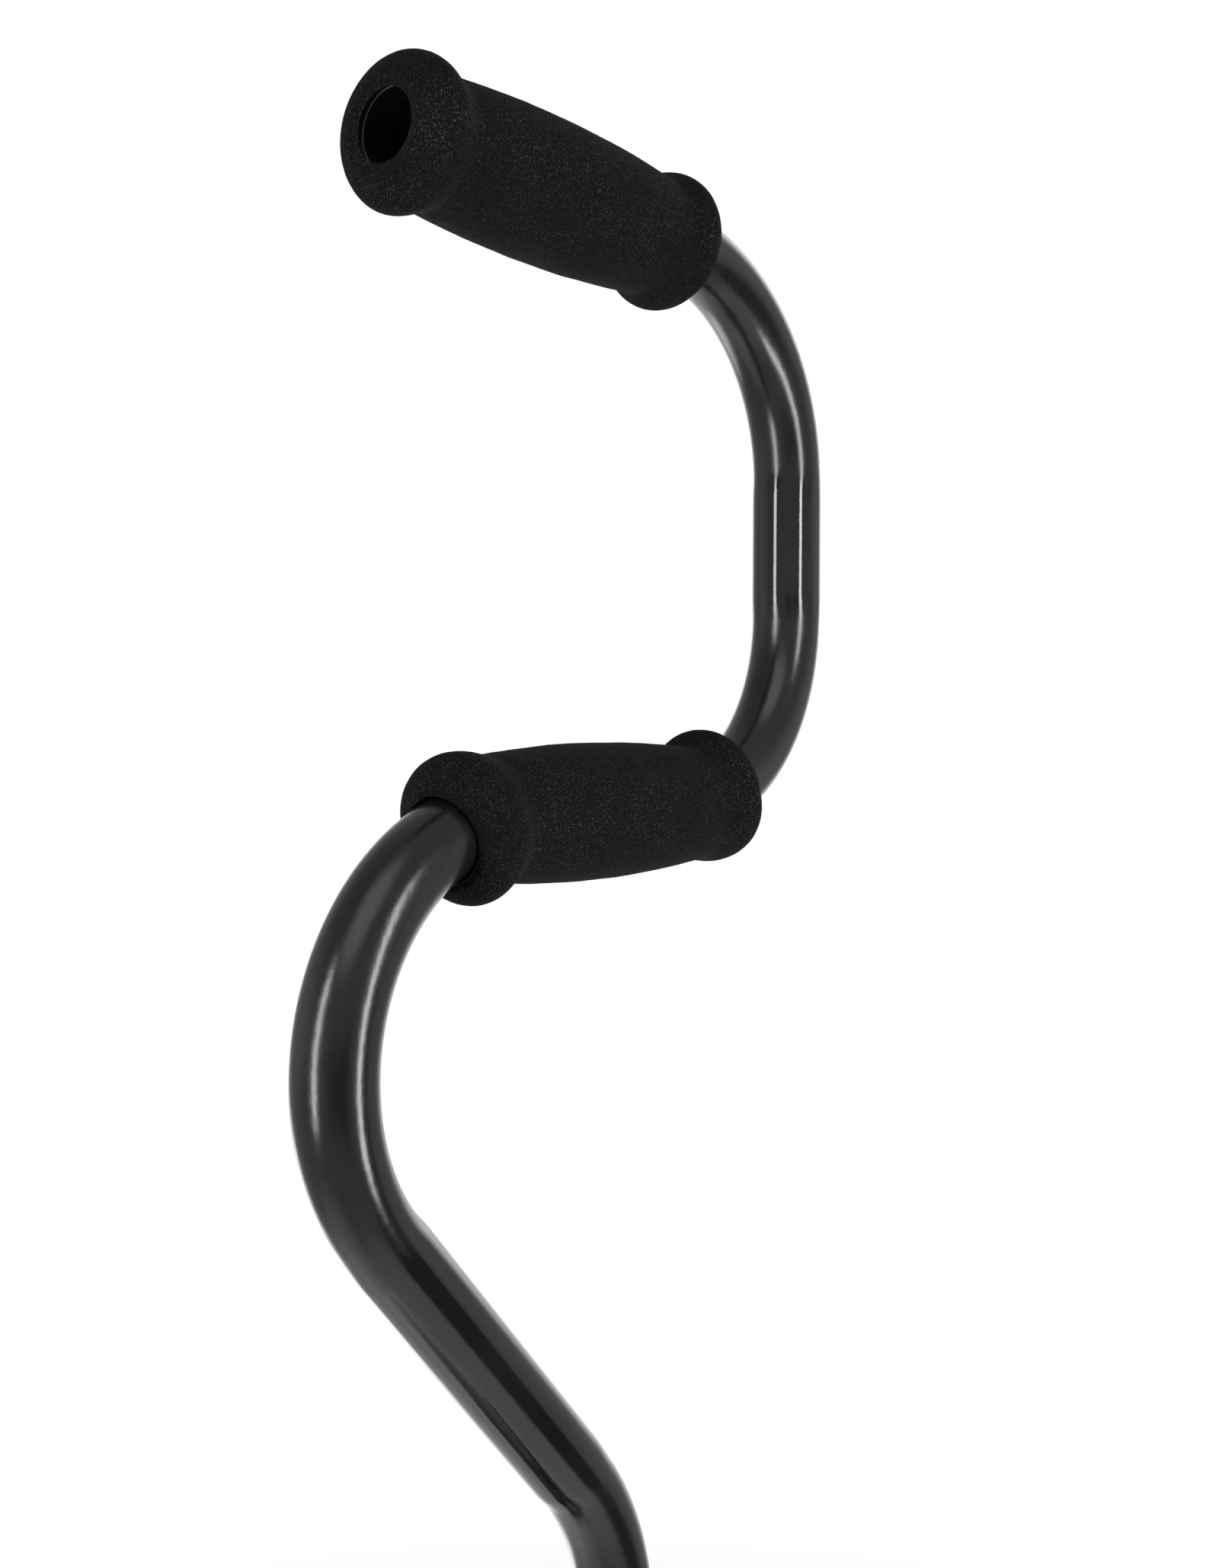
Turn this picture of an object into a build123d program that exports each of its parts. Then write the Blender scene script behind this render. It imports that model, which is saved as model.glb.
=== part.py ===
"""Sit-to-stand quad walking cane with two grips on one bent handle tube, in millimetres.

The origin is on the floor, under the shaft. +Z is up and +X is the way the user walks, so both
grips' near ends point to -X. The handle tube is bent in the XZ plane and slides over the stem.
"""
from build123d import *
from math import atan2, cos, degrees, hypot, pi, radians, sin, sqrt, tan
import os

# ---- driving dimensions -------------------------------------------------------------------
# handle tube
tube_radius = 12.7
tube_wall = 1.5
bend_radius = 70.5           # the three handle bends, on the tube's axis
shaft_bend_radius = 86.0     # the wide bend that brings the tube back to the vertical
upper_straight = 135.2       # bare length that carries the top grip, up to the first bend
back_straight = 48.2
lower_straight = 88.9
lower_tilt = 2.1             # degrees that the lower straight falls towards the user
diagonal_length = 122.2
diagonal_lean = 42.9         # degrees from the vertical
shaft_spare = 4.0            # straight tube left above the stem's cap at the lowest setting

# grips
grip_length = 141.0
grip_bead_radius = 22.6
grip_bead_round = 10.5
grip_nose_flat = 2.0         # the bead's round stops this far outside its centre line
grip_neck_radius = 19.2
grip_neck_place = 17.1       # from each end
grip_belly_radius = 21.9
grip_overhang = 3.9          # top grip past the tube's open end
lower_grip_lead = 26.8       # length of the lower grip that lies round the front bend
lower_grip_end_round = 7.0

# height adjustment
hole_pitch = 25.4
hole_count = 7
hole_radius = 3.3
travel = 3 * hole_pitch      # up or down from the middle hole
lowest_hole_height = 26.0    # above the tube's end
stem_radius = 11.1
stem_wall = 1.2
stem_above_button = 14.0
glide_plug = 5.0             # length of the cap's plug inside the stem
glide_flange = 2.6
glide_chamfer = 0.8

# snap button and its strip spring
button_radius = 3.1
button_stand = 3.0           # button above the handle tube's skin
button_dome = 1.6
button_flange_radius = 4.2
button_flange_thickness = 1.4
spring_width = 6.0
spring_thickness = 0.6
spring_drop = 38.0           # the spring's fold, below the button
spring_arm_end = 5.0         # each arm past the button's axis
spring_fold_radius = 2.4
spring_clearance = 0.02

# lock at the handle tube's lower end
collar_radius = 15.5
collar_taper = 2.3           # the fingers' cone, on the radius
collar_taper_top = 4.0       # below the tube's end
collar_height = 18.0         # over the tube
collar_flange_radius = 17.5
collar_flange_height = 4.0
collar_flange_chamfer = 1.0
collet_drop = 10.0           # below the tube's end
slit_width = 1.2
slit_length = 8.5
thread_grooves = 5
thread_pitch = 3.0
thread_start = 2.0           # below the tube's end
thread_width = 1.2
thread_depth = 0.6
nut_radius = 18.8
nut_drop = 16.0              # below the tube's end
nut_height = 29.5
nut_chamfer = 1.2
nut_lobes = 12
scallop_radius = 4.0
scallop_offset = 2.6         # scallop's axis outside the nut's radius
nut_stem_gap = 0.4

# base
hub_height = 94.0            # axis of the legs' level ends
plate_thickness = 3.0
plate_arm_width = 27.0
plate_reach = 56.0
plate_edge_round = 1.0
hub_collar_height = 10.0
hub_collar_radius = 15.0
weld_reach = 2.5             # weld bead outside the hub collar
weld_height = 3.5
leg_radius = 7.95
leg_wall = 1.3
leg_bend_radius = 38.0
leg_splay = 30.0             # degrees from the vertical
leg_inner_end = 17.0         # from the shaft's axis
foot_x = 62.0
foot_y = 88.0
foot_straight_top = 37.0     # where the leg's upright end starts
tip_height = 33.0
tip_floor = 8.0
tip_sole_radius = 14.5
tip_body_radius = 11.2
tip_rib_radius = 11.9
tip_rib_width = 1.6
tip_rib_pitch = 4.0
tip_rib_count = 3
tread_places = (5.0, 9.0)    # radii of the sole's two grooves
tread_half_width = 0.9
tread_depth = 1.4
tip_washer_thickness = 1.5
tip_washer_gap = 0.4

# fasteners
rivet_radius = 2.5
rivet_head_radius = 4.6
rivet_head_height = 2.2
rivet_places = (30.0, 47.0)  # from the shaft's axis, along each leg
bolt_radius = 4.0
bolt_head_radius = 7.5
bolt_head_height = 5.3
bolt_reach = 16.0            # up into the plug
bolt_hole_radius = 4.3
thread_play = 0.05
hub_washer_radius = 11.0
hub_washer_thickness = 1.6
plug_length = 22.0

running_gap = 0.10           # radial, between sliding or turning pieces
seat_gap = 0.05              # radial, between pieces that stay together
overcut = 1.0                # how far a cutting tool runs past the face it cuts

# ---- heights that follow from the stack ----------------------------------------------------
lower_plate_top = hub_height - leg_radius
lower_plate_base = lower_plate_top - plate_thickness
upper_plate_base = hub_height + leg_radius
upper_plate_top = upper_plate_base + plate_thickness
hub_collar_top = upper_plate_top + hub_collar_height
stop_gap = 2.0
tube_end_z = hub_collar_top + stop_gap + travel + nut_drop
lowest_hole_z = tube_end_z + lowest_hole_height
button_z = lowest_hole_z + travel
stem_top_z = button_z + stem_above_button
shaft_bend_z = stem_top_z + travel + glide_flange + shaft_spare
tube_bore = tube_radius - tube_wall
stem_bore = stem_radius - stem_wall

# ---- places of the four feet ---------------------------------------------------------------
leg_turns = {
    "front_left": degrees(atan2(foot_y, foot_x)),
    "rear_left": degrees(atan2(foot_y, -foot_x)),
    "rear_right": degrees(atan2(-foot_y, -foot_x)),
    "front_right": degrees(atan2(-foot_y, foot_x)),
}
foot_reach = hypot(foot_x, foot_y)


# ---- helpers -------------------------------------------------------------------------------
class Path2D:
    """A path of tangent lines and arcs in the XZ plane, walked from one end to the other."""

    def __init__(self, x, z, heading):
        self.x = x
        self.z = z
        self.heading = heading
        self.edges = []
        self.stations = {}

    def mark(self, name):
        self.stations[name] = (self.x, self.z, self.heading)
        return self

    def straight(self, length):
        start = Vector(self.x, 0, self.z)
        self.x += length * cos(radians(self.heading))
        self.z += length * sin(radians(self.heading))
        self.edges.append(Edge.make_line(start, Vector(self.x, 0, self.z)))
        return self

    def bend(self, turn, radius):
        """Positive turns are to the left when +X is to the right and +Z is up."""
        side = 1 if turn > 0 else -1
        normal = radians(self.heading + 90 * side)
        centre_x = self.x + radius * cos(normal)
        centre_z = self.z + radius * sin(normal)
        start = Vector(self.x, 0, self.z)
        points = []
        for part in (0.5, 1.0):
            spoke = normal + pi + radians(turn) * part
            points.append(Vector(centre_x + radius * cos(spoke), 0, centre_z + radius * sin(spoke)))
        self.edges.append(Edge.make_three_point_arc(start, points[0], points[1]))
        self.x = points[1].X
        self.z = points[1].Z
        self.heading += turn
        return self

    def wire(self):
        return Wire(self.edges)


def solid_along(path_wire, radius):
    """A round bar of this radius along a path."""
    section = Plane(path_wire @ 0, z_dir=path_wire % 0) * Circle(radius)
    return sweep(section, path=path_wire)


def tube_along(path_wire, outer, inner):
    section = Plane(path_wire @ 0, z_dir=path_wire % 0) * (Circle(outer) - Circle(inner))
    return sweep(section, path=path_wire)


def rod(radius, low, high):
    return Pos(0, 0, low) * Cylinder(radius, high - low, align=(Align.CENTER, Align.CENTER, Align.MIN))


def ring(outer, inner, low, high):
    return rod(outer, low, high) - rod(inner, low - overcut, high + overcut)


def turned(points):
    """A solid of revolution about Z from (radius, height) points."""
    return revolve(make_face(Polyline(*[(r, 0, z) for r, z in points], close=True)), Axis.Z)


def dome(base_radius, rise):
    """A shallow dome on the plane Z = 0."""
    sphere_radius = (base_radius ** 2 + rise ** 2) / (2 * rise)
    return (Pos(0, 0, rise - sphere_radius) * Sphere(sphere_radius)) & rod(base_radius, 0, 2 * rise)


def one_solid(shape):
    solids = shape.solids()
    return solids[0] if len(solids) == 1 else Compound(children=list(solids))


# ---- handle tube ---------------------------------------------------------------------------
def handle_path():
    """The handle tube's axis, from its lower end up to the open end in the top grip."""
    path = Path2D(0, tube_end_z, 90)
    path.straight(shaft_bend_z - tube_end_z)
    path.bend(diagonal_lean, shaft_bend_radius)
    path.straight(diagonal_length)
    path.bend(-(90 + diagonal_lean - lower_tilt), bend_radius)
    path.mark("lower straight")
    path.straight(lower_straight)
    path.bend(90 - lower_tilt, bend_radius)
    path.straight(back_straight)
    path.bend(90, bend_radius)
    path.straight(upper_straight)
    path.mark("open end")
    return path


def handle_tube(path):
    tube = tube_along(path.wire(), tube_radius, tube_bore)
    drill = Rot(0, 90, 0) * Cylinder(hole_radius, 3 * tube_radius)
    for step in range(hole_count):
        tube -= Pos(0, 0, lowest_hole_z + step * hole_pitch) * drill
    return tube


# ---- grips ---------------------------------------------------------------------------------
def grip_outline():
    """Half section of a grip along X from its near end: round beads, necks and a slight belly."""
    seat = tube_radius + seat_gap
    bead_face = grip_bead_radius - grip_bead_round
    nose_end = bead_face + grip_nose_flat
    diagonal = sqrt(0.5)
    nose_x = grip_bead_round * (1 - diagonal)
    nose_r = bead_face + grip_bead_round * diagonal + 0.2 * grip_nose_flat
    nose = Edge.make_three_point_arc(
        Vector(0, nose_end),
        Vector(nose_x, nose_r),
        Vector(grip_bead_round, grip_bead_radius),
    )
    run = Spline(
        (grip_bead_round, grip_bead_radius),
        (grip_neck_place, grip_neck_radius),
        (grip_length / 2, grip_belly_radius),
        (grip_length - grip_neck_place, grip_neck_radius),
        (grip_length - grip_bead_round, grip_bead_radius),
        tangents=((1, 0),) * 5,
    )
    tail = Edge.make_three_point_arc(
        Vector(grip_length - grip_bead_round, grip_bead_radius),
        Vector(grip_length - nose_x, nose_r),
        Vector(grip_length, nose_end),
    )
    inside = Polyline(
        (grip_length, nose_end),
        (grip_length, seat),
        (grip_overhang, seat),
        (grip_overhang, tube_bore),
        (0, tube_bore),
        (0, nose_end),
    )
    return make_face([nose, run, tail] + list(inside.edges()))


def top_grip(path):
    x, z, _ = path.stations["open end"]
    grip = revolve(grip_outline(), Axis.X)
    return Pos(x - grip_overhang, 0, z) * grip


def lower_grip(path):
    """Foam sleeve on the lower straight that runs a little way round the bend at each end."""
    x, z, heading = path.stations["lower straight"]
    lead_turn = degrees(lower_grip_lead / bend_radius)
    tail_length = grip_length - lower_grip_lead - lower_straight
    back_up = Path2D(x, z, heading + 180).bend(lead_turn, bend_radius)
    route = Path2D(back_up.x, back_up.z, back_up.heading + 180)
    route.bend(-lead_turn, bend_radius)
    route.straight(lower_straight)
    route.bend(degrees(tail_length / bend_radius), bend_radius)
    wire = route.wire()
    sleeve = solid_along(wire, grip_belly_radius)

    def at_an_end(edge):
        away = min((edge.arc_center - wire @ 0).length, (edge.arc_center - wire @ 1).length)
        return away < 0.1 and abs(edge.radius - grip_belly_radius) < 0.01

    sleeve = fillet(sleeve.edges().filter_by(GeomType.CIRCLE).filter_by(at_an_end), lower_grip_end_round)
    return sleeve - solid_along(wire, tube_radius + seat_gap)


# ---- lock collar and nut -------------------------------------------------------------------
def lock_collar():
    """Plastic collet on the handle tube's end: a flange, a threaded barrel and slit fingers."""
    end = tube_end_z
    top = end + collar_height
    flange_base = top - collar_flange_height
    stem_face = stem_radius + running_gap
    tube_face = tube_radius + seat_gap
    body = turned([
        (stem_face, end - collet_drop),
        (collar_radius - collar_taper, end - collet_drop),
        (collar_radius, end - collar_taper_top),
        (collar_radius, flange_base),
        (collar_flange_radius, flange_base),
        (collar_flange_radius, top - collar_flange_chamfer),
        (collar_flange_radius - collar_flange_chamfer, top),
        (tube_face, top),
        (tube_face, end),
        (stem_face, end),
    ])
    slit = Pos(0, 0, end - collet_drop) * Box(3 * collar_radius, slit_width, 2 * slit_length)
    for turn in (0, 90):
        body -= Rot(0, 0, turn) * slit
    for groove in range(thread_grooves):
        low = end - thread_start + thread_pitch * groove
        body -= ring(collar_radius + overcut, collar_radius - thread_depth, low, low + thread_width)
    return body


def lock_nut():
    """Lobed ring that turns on the collet's barrel and closes its fingers on the stem."""
    base = tube_end_z - nut_drop
    top = base + nut_height
    outside = chamfer(rod(nut_radius, base, top).edges().filter_by(GeomType.CIRCLE), nut_chamfer)
    scallop = Pos(nut_radius + scallop_offset, 0, 0) * rod(scallop_radius, base - overcut, top + overcut)
    for lobe in range(nut_lobes):
        outside -= Rot(0, 0, 360 * lobe / nut_lobes) * scallop
    barrel = collar_radius + running_gap
    stem_hole = stem_radius + nut_stem_gap
    cone_low = tube_end_z - collet_drop - running_gap
    cavity = turned([
        (0, base - overcut),
        (stem_hole, base - overcut),
        (stem_hole, cone_low),
        (barrel - collar_taper, cone_low),
        (barrel, tube_end_z - collar_taper_top),
        (barrel, top + overcut),
        (0, top + overcut),
    ])
    return outside - cavity


# ---- stem ----------------------------------------------------------------------------------
def stem_tube():
    tube = ring(stem_radius, stem_bore, lower_plate_top, stem_top_z)
    drill = Rot(0, -90, 0) * rod(button_radius + running_gap, stem_bore / 2, stem_radius + overcut)
    return tube - Pos(0, 0, button_z) * drill


def stem_glide():
    """Plastic cap on the stem's top end that keeps it from rattling inside the handle tube."""
    plug = stem_bore - seat_gap
    top = stem_top_z + glide_flange
    return turned([
        (0, stem_top_z - glide_plug),
        (plug, stem_top_z - glide_plug),
        (plug, stem_top_z),
        (stem_radius, stem_top_z),
        (stem_radius, top - glide_chamfer),
        (stem_radius - glide_chamfer, top),
        (0, top),
    ])


button_flange_face = sqrt(stem_bore ** 2 - button_flange_radius ** 2) - running_gap
button_back = button_flange_face - button_flange_thickness


def snap_button():
    """Domed button, out through the stem and the handle tube, with a flange inside the stem."""
    shoulder = tube_radius + button_stand - button_dome
    flange = rod(button_flange_radius, button_back, button_flange_face)
    shank = rod(button_radius, button_flange_face, shoulder)
    shape = flange + shank + Pos(0, 0, shoulder) * dome(button_radius, button_dome)
    return Pos(0, 0, button_z) * Rot(0, -90, 0) * shape


def button_spring():
    """Bent steel strip inside the stem: one arm behind the button, the other on the far wall."""
    half = spring_thickness / 2
    front = -(button_back - half - spring_clearance)
    wall = sqrt(stem_bore ** 2 - (spring_width / 2) ** 2) - half - seat_gap
    fold = (0.5, -spring_drop)
    line = FilletPolyline(
        (front, spring_arm_end),
        (front, -spring_arm_end),
        fold,
        (wall, -spring_arm_end),
        (wall, spring_arm_end),
        radius=spring_fold_radius,
    )
    strip = extrude(trace(line, line_width=spring_thickness), spring_width / 2, both=True)
    return Pos(0, 0, button_z) * Rot(90, 0, 0) * strip


def stem_plug():
    """Steel slug pressed in the stem's foot, tapped for the hub bolt."""
    return ring(stem_bore - seat_gap, bolt_radius + thread_play, lower_plate_top, lower_plate_top + plug_length)


# ---- base ----------------------------------------------------------------------------------
def hub_plate(low, hole):
    """Steel plate with a rounded corner over each leg."""
    corner = plate_arm_width / 2
    half_x = (plate_reach - corner) * foot_x / foot_reach + corner
    half_y = (plate_reach - corner) * foot_y / foot_reach + corner
    top = low + plate_thickness
    plate = Pos(0, 0, low) * extrude(RectangleRounded(2 * half_x, 2 * half_y, corner), plate_thickness)
    level_edges = [edge for edge in plate.edges() if abs(edge.tangent_at(0.5).Z) < 0.1]
    plate = fillet(level_edges, plate_edge_round)
    plate -= rod(hole, low - overcut, top + overcut)
    for turn in leg_turns.values():
        for place in rivet_places:
            spot = Rot(0, 0, turn) * Pos(place, 0, 0)
            plate -= spot * rod(rivet_radius + seat_gap, low - overcut, top + overcut)
    return plate


def leg_path():
    """A leg's axis in its own upright plane, from the hub to the washer in its tip."""
    upright_end = tip_floor + tip_washer_thickness
    splay = radians(leg_splay)
    fall = hub_height - foot_straight_top - leg_bend_radius
    reach = leg_bend_radius * cos(splay) + fall * tan(splay) + leg_bend_radius * (1 - cos(splay))
    path = Path2D(leg_inner_end, hub_height, 0)
    path.straight(foot_reach - reach - leg_inner_end)
    path.bend(-(90 - leg_splay), leg_bend_radius)
    path.straight(fall / cos(splay))
    path.bend(-leg_splay, leg_bend_radius)
    path.straight(path.z - upright_end)
    return path


def leg(turn):
    tube = tube_along(leg_path().wire(), leg_radius, leg_radius - leg_wall)
    for place in rivet_places:
        drill = rod(rivet_radius + seat_gap, lower_plate_top - overcut, upper_plate_base + overcut)
        tube -= Pos(place, 0, 0) * drill
    return Rot(0, 0, turn) * tube


def tip(turn):
    """Ribbed rubber ferrule with a flared sole."""
    socket = leg_radius + seat_gap
    body = turned([
        (0, 0),
        (tip_sole_radius - 0.7, 0),
        (tip_sole_radius, 0.9),
        (tip_sole_radius - 0.3, 5),
        (tip_body_radius + 1.0, 11),
        (tip_body_radius + 0.3, 16),
        (tip_body_radius, tip_height - 1.2),
        (tip_body_radius - 0.8, tip_height),
        (socket, tip_height),
        (socket, tip_floor),
        (0, tip_floor),
    ])
    for rib in range(tip_rib_count):
        rib_top = tip_height - 5 - tip_rib_pitch * rib
        body += ring(tip_rib_radius, socket, rib_top - tip_rib_width, rib_top)
    for place in tread_places:
        body -= ring(place + tread_half_width, place - tread_half_width, -overcut, tread_depth)
    return Rot(0, 0, turn) * Pos(foot_reach, 0, 0) * body


def tip_washer(turn):
    washer = rod(leg_radius - tip_washer_gap, tip_floor, tip_floor + tip_washer_thickness)
    return Rot(0, 0, turn) * Pos(foot_reach, 0, 0) * washer


def hub_collar():
    """Welded boss that steadies the stem where it enters the hub."""
    low = upper_plate_top
    bore = stem_radius + seat_gap
    return turned([
        (bore, low),
        (hub_collar_radius + weld_reach, low),
        (hub_collar_radius + 0.8 * weld_reach, low + 0.4 * weld_height),
        (hub_collar_radius + 0.1 * weld_reach, low + weld_height),
        (hub_collar_radius, hub_collar_top - 1),
        (hub_collar_radius - 1, hub_collar_top),
        (bore, hub_collar_top),
    ])


def rivet(turn, place):
    shank = rod(rivet_radius, lower_plate_base, upper_plate_top)
    head = dome(rivet_head_radius, rivet_head_height)
    top = Pos(0, 0, upper_plate_top) * head
    bottom = Pos(0, 0, lower_plate_base) * Rot(180, 0, 0) * head
    return Rot(0, 0, turn) * Pos(place, 0, 0) * (shank + top + bottom)


def hub_washer():
    return ring(hub_washer_radius, bolt_hole_radius, lower_plate_base - hub_washer_thickness, lower_plate_base)


def hub_bolt():
    """Hex bolt up through the lower plate into the stem's plug."""
    head_top = lower_plate_base - hub_washer_thickness
    head = extrude(RegularPolygon(bolt_head_radius, 6), bolt_head_height)
    shank = rod(bolt_radius, head_top, lower_plate_top + bolt_reach)
    return Pos(0, 0, head_top - bolt_head_height) * head + shank


# ---- write every piece ---------------------------------------------------------------------
def build():
    path = handle_path()
    pieces = {
        "handle_tube": handle_tube(path),
        "top_grip": top_grip(path),
        "lower_grip": lower_grip(path),
        "lock_collar": lock_collar(),
        "lock_nut": lock_nut(),
        "stem_tube": stem_tube(),
        "stem_glide": stem_glide(),
        "snap_button": snap_button(),
        "button_spring": button_spring(),
        "stem_plug": stem_plug(),
        "hub_collar": hub_collar(),
        "hub_top_plate": hub_plate(upper_plate_base, stem_radius + seat_gap),
        "hub_bottom_plate": hub_plate(lower_plate_base, bolt_hole_radius),
        "hub_bolt": hub_bolt(),
        "hub_washer": hub_washer(),
    }
    for place, turn in leg_turns.items():
        pieces["leg_" + place] = leg(turn)
        pieces["tip_" + place] = tip(turn)
    pieces["tip_washers"] = Compound(children=[one_solid(tip_washer(t)) for t in leg_turns.values()])
    pieces["leg_rivets"] = Compound(
        children=[one_solid(rivet(t, p)) for t in leg_turns.values() for p in rivet_places])
    return pieces


os.makedirs("parts", exist_ok=True)
for name, shape in build().items():
    export_step(shape, "parts/" + name + ".step")
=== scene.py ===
from math import asin, atan2, cos, degrees, hypot, pi, radians, sin, sqrt, tan

import bpy
from mathutils import Matrix, Vector, noise


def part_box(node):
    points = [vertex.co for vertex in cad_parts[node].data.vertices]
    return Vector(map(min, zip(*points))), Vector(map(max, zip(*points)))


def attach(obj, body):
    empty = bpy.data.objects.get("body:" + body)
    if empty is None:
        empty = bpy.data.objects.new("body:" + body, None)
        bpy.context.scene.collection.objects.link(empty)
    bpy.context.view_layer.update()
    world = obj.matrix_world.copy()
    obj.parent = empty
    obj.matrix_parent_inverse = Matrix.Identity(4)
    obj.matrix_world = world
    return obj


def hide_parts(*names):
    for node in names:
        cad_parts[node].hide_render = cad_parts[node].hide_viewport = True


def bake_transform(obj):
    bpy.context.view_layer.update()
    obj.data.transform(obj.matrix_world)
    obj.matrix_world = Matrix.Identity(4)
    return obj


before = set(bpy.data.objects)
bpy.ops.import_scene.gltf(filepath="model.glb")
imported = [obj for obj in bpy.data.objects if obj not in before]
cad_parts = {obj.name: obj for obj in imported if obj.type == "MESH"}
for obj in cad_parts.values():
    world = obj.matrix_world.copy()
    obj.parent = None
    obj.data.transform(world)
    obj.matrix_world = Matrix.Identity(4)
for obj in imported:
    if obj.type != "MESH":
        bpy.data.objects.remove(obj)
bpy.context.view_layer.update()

# ---- driving dimensions, in metres ----------------------------------------------------------
MM = 0.001
TUBE_RADIUS = 12.7 * MM
TUBE_WALL = 1.5 * MM
TUBE_END_EASE = 0.35 * MM      # how far the edges of a cut end are eased
BEND_RADIUS = 70.5 * MM
SHAFT_BEND_RADIUS = 86.0 * MM
UPPER_STRAIGHT = 135.2 * MM
BACK_STRAIGHT = 48.2 * MM
LOWER_STRAIGHT = 88.9 * MM
LOWER_TILT = 2.1               # degrees
DIAGONAL_LENGTH = 122.2 * MM
DIAGONAL_LEAN = 42.9           # degrees from the vertical
BEND_FLATTENING = 0.05         # of the tube's radius in a bend, in the plane of the bend
BEND_NARROWING = 0.012         # of the tube's radius in a bend, across that plane
BEND_MARK = 0.07 * MM          # depth of the dent that bending leaves at each end of a bend
BEND_RUN = 6.0 * MM            # half the length over which the flattening comes and goes
GENTLE_BEND = 1.3 * BEND_RADIUS    # a tube bent to this radius or less is flattened in full
HOLE_PITCH = 25.4 * MM
HOLE_COUNT = 7
HOLE_RADIUS = 3.3 * MM
LOWEST_HOLE_HEIGHT = 26.0 * MM

GRIP_LENGTH = 141.0 * MM
GRIP_BEAD_RADIUS = 22.6 * MM
GRIP_BEAD_PLACE = 9.9 * MM     # the bead's widest ring, from the grip's end
GRIP_NOSE_RADIUS = 9.5 * MM    # where the bead's rounded outline would reach the grip's end
GRIP_LIP_RADIUS = 14.0 * MM
GRIP_MOUTH_RADIUS = 10.5 * MM
GRIP_MOUTH_DEPTH = 1.9 * MM
GRIP_NECK_RADIUS = 19.5 * MM
GRIP_NECK_PLACE = 20.8 * MM
GRIP_NECK_SOFTNESS = 2.0 * MM
GRIP_BELLY_RADIUS = 21.9 * MM
GRIP_SQUEEZE = 1.3 * MM        # how far the foam bulges on the inside of a bend
GRIP_SLIDE = 3.0               # times that, how far its end is pushed along the tube there
GRIP_FIT = 0.03 * MM           # between the foam's bore and the tube
GRIP_OVERHANG = 4.5 * MM       # of the top grip past the tube's end
LOWER_GRIP_LEAD = 27.5 * MM    # of the lower grip, round the bend before its straight
FOAM_LUMPS = ((16 * MM, 0.16 * MM), (5 * MM, 0.06 * MM), (1.5 * MM, 0.05 * MM))  # size, depth

STEM_RADIUS = 11.1 * MM
STEM_WALL = 1.2 * MM
STEM_HOLE_RADIUS = 3.2 * MM
NUT_LOBES = 12
NUT_GROOVE_DEPTH = 1.5 * MM
NUT_CAVITY_RADIUS = 15.7 * MM
SPRING_THICKNESS = 0.6 * MM
SPRING_DROP = 38.0 * MM        # the spring's fold, below the button's axis
SPRING_FOLD_PLACE = 0.5 * MM   # the fold's place along X
SPRING_ARM = 10.0 * MM
SPRING_BEND_RADIUS = 2.4 * MM

LEGS = ("front_left", "rear_left", "rear_right", "front_right")
LEG_RADIUS = 7.95 * MM
LEG_WALL = 1.3 * MM
LEG_BEND_RADIUS = 38.0 * MM
LEG_FLATTENING = 0.03          # of the leg's radius in a bend
LEG_SPLAY = 30.0               # degrees from the vertical
LEG_UPRIGHT_TOP = 37.0 * MM    # the height where it turns upright
LEG_INNER_END = 17.0 * MM      # from the cane's axis
TIP_SOLE_RADIUS = 13.6 * MM
TIP_FOOT_RADIUS = 14.5 * MM
TIP_FLOOR = 8.0 * MM           # rubber under the leg
TIP_RIBS = 3
BOSS_RADIUS = 15.0 * MM
WELD_HEIGHT = 3.6 * MM
WELD_RIPPLE = 0.35 * MM
BOLT_FLAT = 6.5 * MM           # half of the head's width, over two flats
BOLT_CORNER = 7.5 * MM
BOLT_SHANK = 4.0 * MM
RIVET_HEAD_RADIUS = 4.6 * MM
RIVET_SHANK_RADIUS = 2.5 * MM
RIVET_PLACES = (30.0 * MM, 47.0 * MM)   # from the cane's axis


# ---- the frame's own places -----------------------------------------------------------------
def low(node):
    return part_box(node)[0]


def high(node):
    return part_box(node)[1]


def middle(node):
    return (low(node) + high(node)) / 2


# ---- paths in the XZ plane ------------------------------------------------------------------
class Path:
    """Tangent lines and arcs walked from one end, kept as stations a small step apart."""

    def __init__(self, x, z, heading, step=1.0 * MM):
        self.x = x
        self.z = z
        self.heading = radians(heading)
        self.length = 0.0
        self.step = step
        self.stations = [(x, z, self.heading, 0.0, 0.0)]

    def line(self, length):
        count = max(1, round(length / self.step))
        for _ in range(count):
            self.x += cos(self.heading) * length / count
            self.z += sin(self.heading) * length / count
            self.length += length / count
            self.stations.append((self.x, self.z, self.heading, 0.0, self.length))
        return self

    def arc(self, turn, radius):
        """A positive turn, in degrees, is to the left with +X to the right and +Z up."""
        side = 1 if turn > 0 else -1
        angle = radians(abs(turn))
        count = max(2, round(angle * radius / self.step))
        for _ in range(count):
            before = self.heading
            self.heading += side * angle / count
            self.x += side * radius * (sin(self.heading) - sin(before))
            self.z -= side * radius * (cos(self.heading) - cos(before))
            self.length += angle * radius / count
            self.stations.append((self.x, self.z, self.heading, side / radius, self.length))
        return self


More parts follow.
